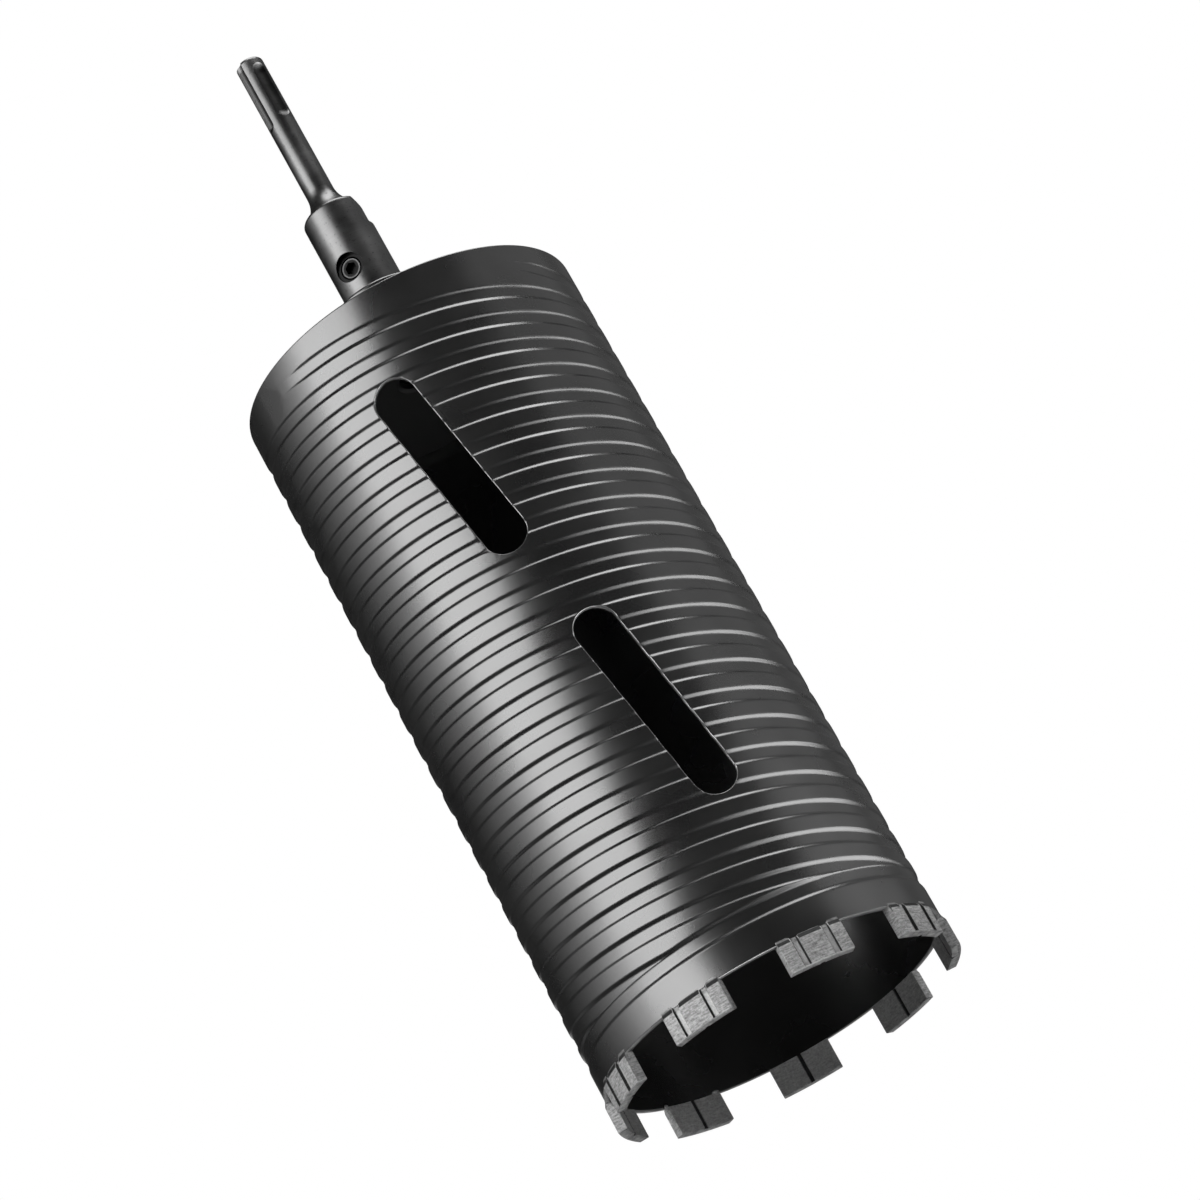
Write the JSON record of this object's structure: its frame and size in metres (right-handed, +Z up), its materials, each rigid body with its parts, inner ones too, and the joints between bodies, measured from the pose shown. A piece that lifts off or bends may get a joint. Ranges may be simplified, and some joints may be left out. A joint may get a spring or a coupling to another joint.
{
  "type": "diamond core bit",
  "caption": "Dry diamond core bit with a spiral-grooved slotted barrel, brazed cutting segments and a grooved hammer-drill shank.",
  "frame": {"origin": "on the tool's axis, in the cutting plane that the segments' lower ends touch", "axes": "+Z up the axis from the cutting segments to the shank's tip, -Y to the front, +X to the right"},
  "size_m": [0.122, 0.1211, 0.4],
  "materials": {
    "barrel_paint": "semi-gloss black paint",
    "sintered_segment": "grey sintered metal with diamond grit",
    "adapter_steel": "turned and blackened steel",
    "screw_black": "black oxide"
  },
  "bodies": {
    "root": {"barrel_tube": "barrel_paint", "segment_1": "sintered_segment", "segment_2": "sintered_segment", "segment_3": "sintered_segment", "segment_4": "sintered_segment", "segment_5": "sintered_segment", "segment_6": "sintered_segment", "segment_7": "sintered_segment", "segment_8": "sintered_segment", "segment_9": "sintered_segment", "back_plate": "barrel_paint", "adapter_shank": "adapter_steel", "grub_screw": "screw_black"}
  },
  "joints": []
}
